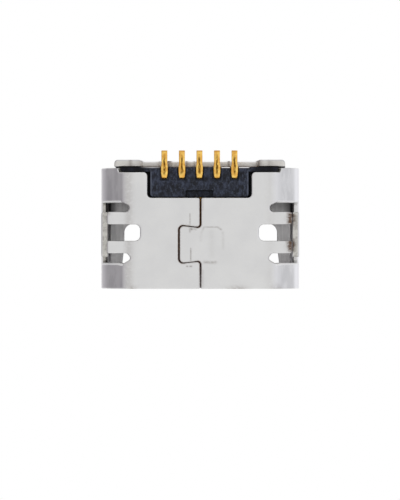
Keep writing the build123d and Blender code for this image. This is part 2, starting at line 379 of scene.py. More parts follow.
def plate(loops, extra):
    """Triangles that fill the outlines, through their points and the extra ones."""
    extra = extra[inside(extra, loops)]
    extra = extra[clear_of(extra, loops, EDGE_MARGIN)]
    points = np.concatenate(loops + [extra])
    edges, first = [], 0
    for loop in loops:
        count = len(loop)
        edges += [(first + i, first + (i + 1) % count) for i in range(count)]
        first += count
    verts, _, faces, _, _, _ = geometry.delaunay_2d_cdt([Vector(p) for p in points], edges, [], 0, 1e-7)
    verts = np.array([tuple(v) for v in verts])
    faces = np.array([tuple(f) for f in faces])
    return verts, faces[inside(verts[faces].mean(1), loops)]


def seam_corners(side):
    """Corners of the seam from the rim to the cut-out: the socket on side 1, the dovetail on side -1."""
    rim, half, lock, tight = (side * gap / 2 for gap in (RIM_GAP, SEAM_GAP, LOCK_GAP, TIGHT_GAP))
    root_x, head_x = SEAM_X + half, SEAM_X + DOVETAIL_REACH + half
    corners = [
        (SEAM_X + rim, 0, SMALL_RADIUS),
        (root_x, DOVETAIL_FRONT - tight, ROOT_RADIUS - half),
        (head_x, DOVETAIL_FRONT - DOVETAIL_FLARE - tight, DOVETAIL_RADIUS + half),
        (head_x, DOVETAIL_REAR + DOVETAIL_FLARE + lock, DOVETAIL_RADIUS + half),
        (root_x, DOVETAIL_REAR + lock, ROOT_RADIUS - half),
        (root_x, CUTOUT_Y, SMALL_RADIUS),
    ]
    return [(FOLD.floor_u(x, side), y, radius) for x, y, radius in corners]


def rear_corners():
    """Corners of the cut-out, the floor's rear, a relief cut and the flap, and then back."""
    cutout_u = FOLD.floor_u(CUTOUT_X, 1)
    flat_x = STEP_X - SHEET / 2 * math.sin(BEVEL_ANGLE) - FLOOR_X
    step_u = FOLD.start["lower_bend"][0] - (flat_x / math.cos(BEVEL_ANGLE) - FLOOR_SETBACK)
    relief_y = FOLD.flap_bend_y - RELIEF_DEPTH
    wing_v, middle_v = FOLD.flap_v(FLAP_WING_Z), FOLD.flap_v(FLAP_MIDDLE_Z)
    return mirrored([
        (cutout_u, CUTOUT_Y, FLOOR_RADIUS),
        (cutout_u, FLOOR_REAR_Y, FLOOR_RADIUS),
        (step_u, FLOOR_REAR_Y, STEP_RADIUS),
        (step_u, WALL_LENGTH, SMALL_RADIUS),
        (FLAP_X + RELIEF_WIDTH, WALL_LENGTH, SMALL_RADIUS),
        (FLAP_X + RELIEF_WIDTH, relief_y, SMALL_RADIUS),
        (FLAP_X, relief_y, SMALL_RADIUS),
        (FLAP_X, wing_v, WING_RADIUS),
        (FLAP_MIDDLE_X, wing_v, WING_STEP_RADIUS),
        (FLAP_MIDDLE_X, middle_v, WING_STEP_RADIUS),
    ])


def lance_corners():
    """Corners of what a lance opens: round the leg, the rear slot, the tabs and the front slot."""
    wall_u, tab_u = FOLD.wall_end, FOLD.floor_start - TAB_REACH
    leg_u = tab_u - LANCE_CUT
    short_u, rear_u, long_u = (FOLD.floor_u(x, 1) for x in (SHORT_SLOT_X, REAR_SLOT_X, LONG_SLOT_X))
    shoulder_u, cheek_u, ledge_u = (FOLD.floor_u(x, 1) for x in (SHOULDER_X, CHEEK_X, LEDGE_X))
    return [
        (wall_u, LANCE_LEDGE, LANCE_TOP_RADIUS),
        (wall_u, LEG_FRONT, 0),
        (leg_u, LEG_FRONT, LEG_RADIUS),
        (leg_u, REAR_SLOT_Y, LEG_RADIUS),
        (wall_u, REAR_SLOT_Y, 0),
        (wall_u, LANCE_REAR, LANCE_TOP_RADIUS),
        (shoulder_u, LANCE_REAR, SHOULDER_RADIUS),
        (rear_u, (LANCE_REAR + REAR_SLOT_Y) / 2, REAR_TIP_RADIUS),
        (cheek_u, REAR_SLOT_Y, SLOT_TIP_RADIUS),
        (tab_u, REAR_SLOT_Y, TAB_RADIUS),
        (tab_u, REAR_TAB_Y, TAB_RADIUS),
        (long_u, REAR_TAB_Y, MIDDLE_SLOT_RADIUS),
        (long_u, MIDDLE_SLOT_Y, MIDDLE_SLOT_RADIUS),
        (tab_u, MIDDLE_SLOT_Y, TAB_RADIUS),
        (tab_u, FRONT_TAB_Y, TAB_RADIUS),
        (cheek_u, FRONT_TAB_Y, SLOT_TIP_RADIUS),
        (short_u, (LANCE_FRONT + FRONT_TAB_Y) / 2, SLOT_TIP_RADIUS),
        (shoulder_u, LANCE_FRONT, SHOULDER_RADIUS),
        (ledge_u, LANCE_LEDGE, LEDGE_RADIUS),
    ]


def shell_loops(columns, rows):
    """Outlines of the flat sheet: the outer one runs anticlockwise and the holes clockwise."""
    outer = rounded_loop(seam_corners(1) + rear_corners() + seam_corners(-1)[::-1])
    loops = [outer if area(outer) > 0 else outer[::-1]]
    for corners in (lance_corners(), LATCH_WINDOW):
        right = rounded_loop(corners)
        for hole in (right, right[::-1] * [-1, 1]):
            loops.append(hole if area(hole) < 0 else hole[::-1])
    return [cut_loop(loop, columns, rows) for loop in loops]


def bend_lines():
    """Columns in u and rows in v that the bends need to look round."""
    columns = []
    for name, _, angle, radius in FOLD.runs:
        if angle:
            steps = max(4, math.ceil(angle / math.radians(8)))
            length = (radius + SHEET / 2) * angle
            columns += list(FOLD.start[name][0] + np.linspace(0, length, steps + 1))
    columns = np.array(columns)
    rows = FOLD.flap_bend_y + np.linspace(0, FOLD.flap_bend_length, 12)
    return np.concatenate([-columns[::-1], columns]), rows


def with_steps(lines, low, high, step):
    """The given lines, and even steps between low and high that keep off them."""
    steps = np.arange(low, high, step)
    apart = np.abs(steps[:, None] - lines[None, :]).min(1)
    return np.concatenate([lines, steps[apart > step / 4]])


def face_points(columns, rows):
    """Points for the faces of the sheet: a grid over all of it, and a fine one over the marks."""
    u_end = FOLD.floor_u(SEAM_X + DOVETAIL_REACH, -1)
    us = with_steps(columns, u_end, -u_end, FACE_STEP)
    vs = with_steps(rows, FACE_STEP / 2, FOLD.flap_v(FLAP_WING_Z), FACE_STEP)
    grid = np.stack(np.meshgrid(us, vs), -1).reshape(-1, 2)
    xs, ys = np.meshgrid(np.arange(*FINE_X, FINE_STEP), np.arange(*FINE_Y, FINE_STEP))
    fine = [np.stack([FOLD.floor_u(xs, side), ys], -1).reshape(-1, 2) for side in (-1, 1)]
    return grid, np.concatenate(fine)


# Marks the staking punch left round the dovetail: ends of each stroke, its half width and its strength
MARKS = [
    ((0.355, 2.10), (0.355, 2.78), 0.022, 0.55),
    ((0.325, 1.05), (0.325, 1.50), 0.022, 0.70),
    ((0.24, 2.24), (0.14, 2.20), 0.030, 0.45),
    ((0.36, 2.20), (0.28, 2.22), 0.040, 0.75),
    ((0.48, 0.835), (0.44, 0.835), 0.028, 0.6),
    ((0.35, 0.835), (0.30, 0.835), 0.028, 0.7),
    ((-0.16, 2.29), (-0.68, 2.29), 0.022, 0.55),
    ((-0.68, 2.28), (-0.80, 2.20), 0.030, 0.50),
    ((-0.16, 2.28), (-0.08, 2.12), 0.035, 0.30),
    ((-0.06, 2.08), (-0.04, 1.80), 0.050, 0.12),
    ((-0.86, 2.10), (-0.88, 1.50), 0.050, 0.14),
    ((-0.18, 0.99), (-0.60, 0.98), 0.050, 0.50),
    ((-0.44, 2.10), (-0.46, 1.20), 0.100, 0.08),
]
MARK_DEPTH = 0.012
# Painted shade: a grey ring on the rolled edge beside the tip of one front slot, carried with the punch
# marks
TIP_SHADE = 0.40

# Brown stains: place and reach along X, place and reach along Y, the height they end at, and strength
STAINS = [
    (-3.39, 0.22, 1.61, 0.34, 0.6, 2.4),
    (-3.39, 0.22, 2.62, 0.36, 0.6, 2.4),
    (3.36, 0.15, 2.80, 0.12, 0.6, 0.35),
    (2.62, 0.26, 0.0, math.inf, 0.2, 0.22),
    (-2.62, 0.26, 0.0, math.inf, 0.2, 0.06),
    (-2.90, 0.40, 0.0, 0.30, 0.3, 0.25),
    (-1.40, 0.60, 0.0, 0.10, 0.3, 0.5),
    (2.45, 0.20, 0.0, 0.10, 0.3, 0.5),
]

# Brown in the seam: how far it spreads, how far aside and how high, and over what length it fades to the
# rim; then where the dovetail locks and holds less of it, and how much less
SEAM_SPREAD = 0.06
SEAM_REACH = 1.0
SEAM_TOP = SHEET + 0.05
SEAM_FADE = 0.1
LOCKED_X = (0.36, 0.40)
LOCKED_Y = ((DOVETAIL_FRONT - 0.03, 0.14), (DOVETAIL_REAR + 0.03, 0.14))
LOCKED_LOSS = 0.55

# Brown burrs along the flap's lower edge: place, reach and strength, and their height
BURRS = [
    (FLAP_MIDDLE_X + 0.02, 0.14, 0.3),
    (-FLAP_MIDDLE_X - 0.02, 0.14, 0.7),
    (2.58, 0.10, 0.5),
    (1.50, 0.12, 0.5),
    (1.14, 0.12, 0.9),
    (0.48, 0.12, 0.5),
    (0.20, 0.10, 0.4),
    (-1.09, 0.12, 0.6),
    (-2.60, 0.12, 0.3),
]
BURR_HEIGHT = 0.06
# Brown burr line and painted shade along the inner side of the flap's middle, where it meets the block:
# strength and reach
INNER_BURR_AND_SHADE = 1.3
INNER_BURR_AND_SHADE_REACH = 0.09


def pressed_marks(places):
    """How deep the staking marks are at each place, as a share of the deepest."""
    spot = places[:, :2]
    depth = np.zeros(len(spot))
    for first, last, width, strength in MARKS:
        first, way = np.array(first), np.subtract(last, first)
        along = np.clip((spot - first) @ way / (way @ way), 0, 1)
        apart = np.linalg.norm(spot - first - along[:, None] * way, axis=1)
        depth = np.maximum(depth, strength * np.exp(-((apart / width) ** 2)))
    return depth


def bump_of(value, centre, reach):
    """One at the centre, falling smoothly to nothing at the reach."""
    near = np.clip(1 - np.abs(value - centre) / reach, 0, 1)
    return near * near * (3 - 2 * near)


def seam_stain(places, seam):
    """Share of brown beside the seam, which fades to the rim."""
    x, y, z = places.T
    gaps = [np.sqrt(((part[:, None, :2] - seam) ** 2).sum(2).min(1)) for part in chunks(places)]
    locked = np.maximum(*(bump_of(y, *place) for place in LOCKED_Y))
    locked *= np.clip(bump_of(x, *LOCKED_X) * 2, 0, 1)
    on_floor = (z < SEAM_TOP) & (np.abs(x) < SEAM_REACH) & (y < CUTOUT_Y)
    beside = np.where(on_floor, np.clip(1 - np.concatenate(gaps) / SEAM_SPREAD, 0, 1), 0)
    return beside * (1 - LOCKED_LOSS * locked) * np.clip(y / SEAM_FADE, 0, 1)


def burr_stain(places):
    """Share of brown burrs at the lower edge of the flap, and of brown painted shade along the inner
    side of its middle, where it meets the block.
    """
    x, y, z = places.T
    share = sum(bump_of(x, centre, reach) * strength for centre, reach, strength in BURRS)
    inner = np.clip(1 - (y - FLAP_INNER_Y) / INNER_BURR_AND_SHADE_REACH, 0, 1) * (np.abs(x) < FLAP_MIDDLE_X)
    share += INNER_BURR_AND_SHADE * inner
    edge_z = np.where(np.abs(x) < FLAP_MIDDLE_X + 0.02, FLAP_MIDDLE_Z, FLAP_WING_Z)
    share *= np.clip(1.5 - (z - edge_z) / BURR_HEIGHT, 0, 1)
    return np.where(y > FLAP_INNER_Y - MARGIN, share, 0)


def stain_share(places, seam):
    """Share of brown handling stains, seam colour and burrs, and of painted shade along the flap's inner
    side, at each place of the sheet.
    """
    x, y, z = places.T
    share = seam_stain(places, seam) + burr_stain(places)
    for centre_x, reach_x, centre_y, reach_y, top, strength in STAINS:
        spot = bump_of(x, centre_x, reach_x) * bump_of(y, centre_y, reach_y)
        share += np.where(z < top, strength * spot, 0)
    return np.clip(share, 0, 1)


def edge_roll(loop):
    """Radius of the sheet's outer edge at each point: larger where a lance was cut across a bevel."""
    u, v = np.abs(loop[:, 0]), loop[:, 1]
    bevel = (u > FOLD.wall_end) & (u < FOLD.floor_start - ROLL_MARGIN)
    front = (v > LANCE_FRONT - NEAR) & (v < LANCE_LEDGE + NEAR) & (u < FOLD.floor_u(SHOULDER_X, 1))
    rear = np.abs(v - LANCE_REAR) < NEAR
    return np.where(bevel & (front | rear), LANCE_ROUND, OUTER_ROUND)


def at_front_tip(x, y, z):
    """Whether a place is on the floor beside the pointed end of a front slot."""
    return z < SHEET and abs(x) < SHOULDER_X and LANCE_FRONT < y < FRONT_TAB_Y - MARGIN


def seam_line(outline):
    """Places of the sheet's outline along the seam, in plan."""
    near = (np.abs(outline[:, 0]) > FOLD.floor_u(CUTOUT_X - 0.1, 1)) & (outline[:, 1] > MARGIN)
    u, v = outline[near].T
    line = FOLD.place(u, v, np.full(len(u), SHEET))[:, :2]
    return line[line[:, 1] < CUTOUT_Y - MARGIN]


# What each point of the sheet carries for the finishes
SHARES = ("inner", "stain", "mark", "edge")


class SheetMesh:
    """Mesh of the folded sheet, whose points carry their shares."""

    def __init__(self, seam):
        self.seam = seam
        self.mesh = bmesh.new()
        layers = self.mesh.verts.layers.float
        self.inner, self.stain, self.mark, self.edge = [layers.new(name) for name in SHARES]

    def add(self, uv, t):
        """New points at flat places, t over the inside face: one height for all, or one for each."""
        t = np.broadcast_to(t, len(uv))
        places = FOLD.place(uv[:, 0], uv[:, 1], t)
        on_floor = (places[:, 2] < SHEET + 1e-3) & (np.abs(places[:, 0]) < FLOOR_X)
        pressed = np.where(on_floor, pressed_marks(places), 0)
        stained = stain_share(places, self.seam)
        places[:, 2] += pressed * MARK_DEPTH * (t / SHEET)
        verts = [self.mesh.verts.new(place) for place in places]
        for vert, height, brown, press in zip(verts, t, stained, pressed):
            vert[self.inner] = 1 - height / SHEET
            vert[self.stain] = brown
            vert[self.mark] = press
        return verts

    def fill(self, loops, points, t, flip):
        """One face of the sheet, between its outlines."""
        verts, faces = plate(loops, points)
        made = self.add(verts, t)
        for face in faces:
            self.mesh.faces.new([made[i] for i in (face[::-1] if flip else face)])

    def close(self, loop, roll):
        """The cut edge from the inside face round to the outside one."""
        rings = [self.add(inset(loop, INNER_ROUND), 0.0)]
        rings += [self.add(loop, height) for height in (INNER_ROUND, EDGE_LINE)]
        for k in range(ROLL_STEPS + 1):
            angle = math.pi / 2 * k / ROLL_STEPS
            over = SHEET - roll * (1 - math.sin(angle))
            rings.append(self.add(inset(loop, roll * (1 - math.cos(angle))), over))
        for ring in rings[3:-1]:
            for vert, reach in zip(ring, roll):
                vert[self.edge] = (reach - OUTER_ROUND) / (LANCE_ROUND - OUTER_ROUND)
                # Painted shade ring on the rolled edge beside the front slot's tip on the -X side
                if vert.co.x < 0 and at_front_tip(*vert.co):
                    vert[self.mark] = TIP_SHADE
        for k, (low, high) in enumerate(zip(rings, rings[1:])):
            for i in range(len(loop)):
                j = (i + 1) % len(loop)
                face = self.mesh.faces.new([low[i], low[j], high[j], high[i]])
                face.material_index = 1 if k in (1, 2) else 0


def build_shell():
    """The folded sheet with rounded edges, as one closed mesh."""
    columns, rows = bend_lines()
    loops = shell_loops(columns, rows)
    rolls = [edge_roll(loop) for loop in loops]
    grid, fine = face_points(columns, rows)
    sheet = SheetMesh(seam_line(loops[0]))
    sheet.fill([inset(loop, INNER_ROUND) for loop in loops], grid, 0.0, True)
    outer = [inset(loop, roll) for loop, roll in zip(loops, rolls)]
    sheet.fill(outer, np.concatenate([grid, fine]), SHEET, False)
    for loop, roll in zip(loops, rolls):
        sheet.close(loop, roll)
    bmesh.ops.remove_doubles(sheet.mesh, verts=sheet.mesh.verts, dist=1e-5)
    bmesh.ops.recalc_face_normals(sheet.mesh, faces=sheet.mesh.faces)
    return finish_mesh("shell_sheet", sheet.mesh)


def add_object(name, data):
    """New object of the scene."""
    made = bpy.data.objects.new(name, data)
    bpy.context.scene.collection.objects.link(made)
    return made


def to_data(name, mesh):
    """Turns a bmesh into Blender's mesh data."""
    data = bpy.data.meshes.new(name)
    mesh.to_mesh(data)
    mesh.free()
    return data


def finish_mesh(name, mesh, sharp=35):
    """Turns a millimetre bmesh into an object in metres, smooth except at sharp edges."""
    data = to_data(name, mesh)
    data.transform(Matrix.Scale(MM, 4))
    for polygon in data.polygons:
        polygon.use_smooth = True
    data.set_sharp_from_angle(angle=math.radians(sharp))
    return add_object(name, data)


# Insulator, in millimetres
CLEARANCE = 0.02
BODY_FRONT_Y = WALL_LENGTH - 1.10
TONGUE_X = 1.85
TONGUE_TIP_Y = INSULATOR_LOW[1]
TONGUE_TOP_Z = 1.72
TONGUE_BOTTOM_Z = 1.12
TONGUE_CHAMFER = 0.08
OVERLAP = 0.1
BLOCK_X = CUTOUT_X - 0.115
BLOCK_FRONT_Y = CUTOUT_Y + 0.04
BLOCK_LIFT = INSULATOR_LOW[2]
BLOCK_RADIUS = 0.10
NOTCH_X = 0.52
NOTCH_END_Y = BLOCK_FRONT_Y + 0.24
NOTCH_FRONT_RADIUS = 0.03
NOTCH_RADIUS = 0.05
FLANGE_X = STEP_X - 0.02
FLANGE_FRONT_Y = FLOOR_REAR_Y + 0.02
FLANGE_RADIUS = 0.13
GROOVE_X = CUTOUT_X + 0.02
GROOVE_FRONT_Y = CUTOUT_Y - 0.1
GROOVE_DEPTH = 0.25
SLOT_GAP = 0.04
PLASTIC_ROUND = 0.03

# Contacts, in millimetres
CONTACT_COUNT = 5
NUMBERS = range(1, CONTACT_COUNT + 1)
PITCH = 0.65
STRIP = 0.13
STRIP_ROUND = 0.03
STRIP_STEP = 0.05
BLADE_Z = TONGUE_BOTTOM_Z - 0.03
BLADE_SETBACK = 0.25
INNER_SETBACK = 0.40
BEND = 0.08 + STRIP / 2
DROP_Y = FLAP_INNER_Y - 0.46
NECK_Y = DROP_Y - 0.15
ROOT_WIDTH = 0.26
ROOT_END_Y = DROP_Y + 0.53
TAIL_START = 0.04
TAIL_END_Y = node_box("contact_1")[1][1]

# Width of a contact along Y: wide blade, then the drop, the root that widens from it, and the tail
WIDTHS = [
    (NECK_Y - 0.04, 0.40),
    (NECK_Y + 0.04, 0.19),
    (DROP_Y + 0.04, 0.19),
    (DROP_Y + 0.26, ROOT_WIDTH),
    (ROOT_END_Y - 0.06, ROOT_WIDTH),
    (ROOT_END_Y + 0.06, 0.22),
]


def prism(outline, low, high, across="Z"):
    """Straight solid over a closed outline in XY, or in XZ when it is drawn across Y; in millimetres."""
    mesh = bmesh.new()
    rims = []
    for level in (low, high):
        corners = [(a, b, level) if across == "Z" else (a, level, b) for a, b in outline]
        rims.append([mesh.verts.new(corner) for corner in corners])
    mesh.faces.new(rims[0])
    mesh.faces.new(rims[1])
    for i in range(len(outline)):
        mesh.faces.new([rims[0][i - 1], rims[0][i], rims[1][i], rims[1][i - 1]])
    bmesh.ops.recalc_face_normals(mesh, faces=mesh.faces)
    return add_object("solid", to_data("solid", mesh))


def apply_modifiers(solid):
    """Turns what the modifiers make into the object's own mesh."""
    graph = bpy.context.evaluated_depsgraph_get()
    data = bpy.data.meshes.new_from_object(solid.evaluated_get(graph))
    solid.modifiers.clear()
    solid.data = data


def combine(solid, operation, others):
    """Adds other solids to a solid, or cuts them from it, and removes them."""
    for other in others:
        step = solid.modifiers.new("combine", "BOOLEAN")
        step.operation = operation
        step.solver = "EXACT"
        step.object = other
    apply_modifiers(solid)
    for other in others:
        bpy.data.objects.remove(other)
    return solid


def rectangle(x, front, rear, centre=0.0, radius=0.0):
    """Outline of a rectangle, x to each side of its centre; its front corners have the radius."""
    corners = [(-x, front, radius), (x, front, radius), (x, rear, 0), (-x, rear, 0)]
    return rounded_loop([(centre + a, b, r) for a, b, r in corners])


def contact_x(number):
    return (number - (CONTACT_COUNT + 1) / 2) * PITCH


def make_body():
    """Body that fills the rear of the shell."""
    half = [
        (FLOOR_X - CLEARANCE, SHEET, FLOOR_BEND + CLEARANCE),
        (WALL_X - CLEARANCE, SHEET + BEVEL_HEIGHT, WALL_BEND + CLEARANCE),
        (WALL_X - CLEARANCE, CEILING_Z, CORNER_BEND),
    ]
    return prism(rounded_loop(mirrored(half)), BODY_FRONT_Y, FLAP_INNER_Y, across="Y")


def make_tongue():
    """Tongue, bevelled all round its tip."""
    plan = rectangle(TONGUE_X, TONGUE_TIP_Y, BODY_FRONT_Y + 2 * OVERLAP)
    tongue = prism(plan, TONGUE_BOTTOM_Z, TONGUE_TOP_Z)
    mesh = bmesh.new()
    mesh.from_mesh(tongue.data)
    tip = [e for e in mesh.edges if all(v.co.y < TONGUE_TIP_Y + NEAR for v in e.verts)]
    bmesh.ops.bevel(mesh, geom=tip, offset=TONGUE_CHAMFER, segments=1, affect="EDGES")
    mesh.to_mesh(tongue.data)
    mesh.free()
    return tongue


def make_block():
    """Block in the floor's cut-out, with a notch in its front."""
    outline = [
        (-BLOCK_X, BLOCK_FRONT_Y, BLOCK_RADIUS),
        (-NOTCH_X, BLOCK_FRONT_Y, NOTCH_FRONT_RADIUS),
        (-NOTCH_X, NOTCH_END_Y, NOTCH_RADIUS),
        (NOTCH_X, NOTCH_END_Y, NOTCH_RADIUS),
        (NOTCH_X, BLOCK_FRONT_Y, NOTCH_FRONT_RADIUS),
        (BLOCK_X, BLOCK_FRONT_Y, BLOCK_RADIUS),
        (BLOCK_X, FLAP_INNER_Y, 0),
        (-BLOCK_X, FLAP_INNER_Y, 0),
    ]
    return prism(rounded_loop(outline), BLOCK_LIFT, SHEET + OVERLAP)


def make_flange():
    """Flange behind the floor, between the lower parts of the bevels."""
    reach = SHEET - BLOCK_LIFT
    corner_x = FLOOR_X + reach * math.tan(BEVEL_ANGLE / 2)
    half = [
        (corner_x, BLOCK_LIFT, FLOOR_BEND + reach),
        (corner_x + WALL_X - FLOOR_X, SHEET + BEVEL_HEIGHT, 0),
    ]
    flange = prism(rounded_loop(mirrored(half)), FLANGE_FRONT_Y, FLAP_INNER_Y, across="Y")
    plan = rectangle(FLANGE_X, FLANGE_FRONT_Y, FLAP_INNER_Y, radius=FLANGE_RADIUS)
    return combine(flange, "INTERSECT", [prism(plan, -1, SHEET + BEVEL_HEIGHT / 2)])


def make_groove():
    """What is cut from the body round the block."""
    groove = prism(rectangle(GROOVE_X, GROOVE_FRONT_Y, FLOOR_REAR_Y), 0, SHEET + GROOVE_DEPTH)
    block = rectangle(BLOCK_X, BLOCK_FRONT_Y, FLOOR_REAR_Y + 1, radius=BLOCK_RADIUS)
    return combine(groove, "DIFFERENCE", [prism(block, -1, 2)])


def build_insulator():
    """One moulding: body, tongue, block in the floor's cut-out and flange, with slots for the tails."""
    solid = combine(make_body(), "DIFFERENCE", [make_groove()])
    solid = combine(solid, "UNION", [make_tongue(), make_block(), make_flange()])
    half = ROOT_WIDTH / 2 + SLOT_GAP
    plans = [rectangle(half, DROP_Y - SLOT_GAP, FLAP_INNER_Y + 1, contact_x(n)) for n in NUMBERS]
    solid = combine(solid, "DIFFERENCE", [prism(plan, -1, STRIP) for plan in plans])
    edges = solid.modifiers.new("edges", "BEVEL")
    edges.width = PLASTIC_ROUND
    edges.segments = 3
    edges.limit_method = "ANGLE"
    edges.angle_limit = math.radians(35)
    edges.use_clamp_overlap = True
    apply_modifiers(solid)
    mesh = bmesh.new()
    mesh.from_mesh(solid.data)
    bpy.data.objects.remove(solid)
    return finish_mesh("insulator_moulding", mesh)


def strip_section(width):
    """Outline of the strip across its run, with rounded corners: (across, over) points."""
    half, over = width / 2, STRIP / 2
    corners = [(-half, -over), (half, -over), (half, over), (-half, over)]
    return rounded_loop([(a, b, STRIP_ROUND) for a, b in corners], turn=math.radians(30))


def width_at(y):
    """Width of a contact at a place along Y."""
    return float(np.interp(y, *zip(*WIDTHS)))


def level(y0, y1, z):
    """Stations of a strip that runs level: y, z, heading and width at each."""
    steps = max(2, math.ceil((y1 - y0) / STRIP_STEP))
    return [(y, z, 0.0, width_at(y)) for y in np.linspace(y0, y1, steps + 1)]


def bent(centre_y, centre_z, first, last, side):
    """Stations of a strip that is bent round a centre, without the one it starts from."""
    stations = []
    for heading in np.linspace(first, last, 9)[1:]:
        y = centre_y - side * BEND * math.sin(heading)
        z = centre_z + side * BEND * math.cos(heading)
        stations.append((y, z, heading, width_at(y)))
    return stations


def contact_stations(number):
    """Stations along the middle of a contact's strip; the outer two blades are longer."""
    front = TONGUE_TIP_Y + BLADE_SETBACK + (0 if number in (1, CONTACT_COUNT) else INNER_SETBACK)
    over = BLADE_Z + STRIP / 2
    middle = DROP_Y + STRIP / 2
    down = -math.pi / 2
    stations = level(front + STRIP_ROUND, middle - BEND, over)
    stations += bent(middle - BEND, over - BEND, 0, down, 1)
    stations += bent(middle + BEND, STRIP / 2 + BEND, down, 0, -1)
    stations += level(middle + BEND + TAIL_START, TAIL_END_Y - STRIP_ROUND / 2, STRIP / 2)
    return stations


def build_contact(number):
    """One bent strip: blade under the tongue, drop through the body, tail on the board."""
    mesh = bmesh.new()
    spread = mesh.verts.layers.float.new("across")

    def ring(station, shrink=0.0, ahead=0.0):
        y, z, heading, width = station
        y += ahead * math.cos(heading)
        z += ahead * math.sin(heading)
        points = []
        for a, b in strip_section(width):
            a *= 1 - shrink / (width / 2)
            b *= 1 - shrink / (STRIP / 2)
            place = (contact_x(number) + a, y - b * math.sin(heading), z + b * math.cos(heading))
            vert = mesh.verts.new(place)
            vert[spread] = a / (width / 2)
            points.append(vert)
        return points

    def closing(station, reach, way):
        """Rings that round an end of the strip off."""
        angles = [math.pi / 2 * k / 3 for k in (1, 2, 3)]
        return [ring(station, reach * (1 - math.cos(a)), way * reach * math.sin(a)) for a in angles]

    stations = contact_stations(number)
    rings = closing(stations[0], STRIP_ROUND, -1)[::-1]
    rings += [ring(station) for station in stations]
    rings += closing(stations[-1], STRIP_ROUND / 2, 1)
    for low, high in zip(rings, rings[1:]):
        for i in range(len(low)):
            mesh.faces.new([low[i - 1], low[i], high[i], high[i - 1]])
    mesh.faces.new(rings[0])
    end = mesh.faces.new(rings[-1])
    end.material_index = 1
    bmesh.ops.recalc_face_normals(mesh, faces=mesh.faces)
    return finish_mesh(f"contact_strip_{number}", mesh, sharp=50)


# Colours, as they look on screen
TIN_LIGHT = (0.865, 0.865, 0.86)
TIN_DARK = (0.84, 0.84, 0.838)
# Grey of the grain, also used as painted shade on the flap's wings
TIN_GRAIN_AND_SHADE = (0.70, 0.70, 0.70)
# Painted highlight: near-white tin laid where the sheet should look brighter
TIN_HIGHLIGHT = (0.97, 0.97, 0.97)
TIN_INSIDE = (0.78, 0.775, 0.775)
TIN_INSIDE_LIGHT = (0.84, 0.835, 0.835)
TIN_SHADOW = (0.10, 0.09, 0.10)
# Brown of stains, also used for the painted shade along the flap's inner side
TIN_STAIN_AND_SHADE = (0.39, 0.32, 0.27)
TIN_MARK_AND_SHADE = (0.50, 0.47, 0.44)
SEAM_BROWN = (0.34, 0.20, 0.10)
CUT_EDGE = (0.82, 0.815, 0.79)
CUT_EDGE_DARK = (0.70, 0.69, 0.67)
CUT_EDGE_TORN_AND_SHADE = (0.20, 0.19, 0.19)
FLAP_EDGE = (0.96, 0.95, 0.93)
WING_EDGE = (0.86, 0.85, 0.83)
PLASTIC = (0.12, 0.127, 0.155)
PLASTIC_LIGHT = (0.22, 0.24, 0.30)
PLASTIC_FIBRE = (0.30, 0.33, 0.40)
PLASTIC_SPECK = (0.45, 0.47, 0.50)
PLASTIC_SIDE_HIGHLIGHT = (0.38, 0.40, 0.46)
# Near-black of the dark fibres, also used as painted shade
PLASTIC_DEEP_AND_SHADE = (0.03, 0.03, 0.05)
PLASTIC_EDGE_HIGHLIGHT = (0.97, 0.96, 0.96)
BLACK = (0.0, 0.0, 0.0)
GOLD = (0.98, 0.82, 0.44)
GOLD_DEEP = (0.90, 0.68, 0.32)
# Dark brown: the painted reflection streak on the tails, and the bare alloy on cut ends
BROWN_REFLECTION_AND_CUT = (0.40, 0.27, 0.08)
GOLD_TIP = (0.72, 0.50, 0.25)
COPPER_CUT = (0.42, 0.30, 0.20)
PAPER = (0.93, 0.93, 0.93)

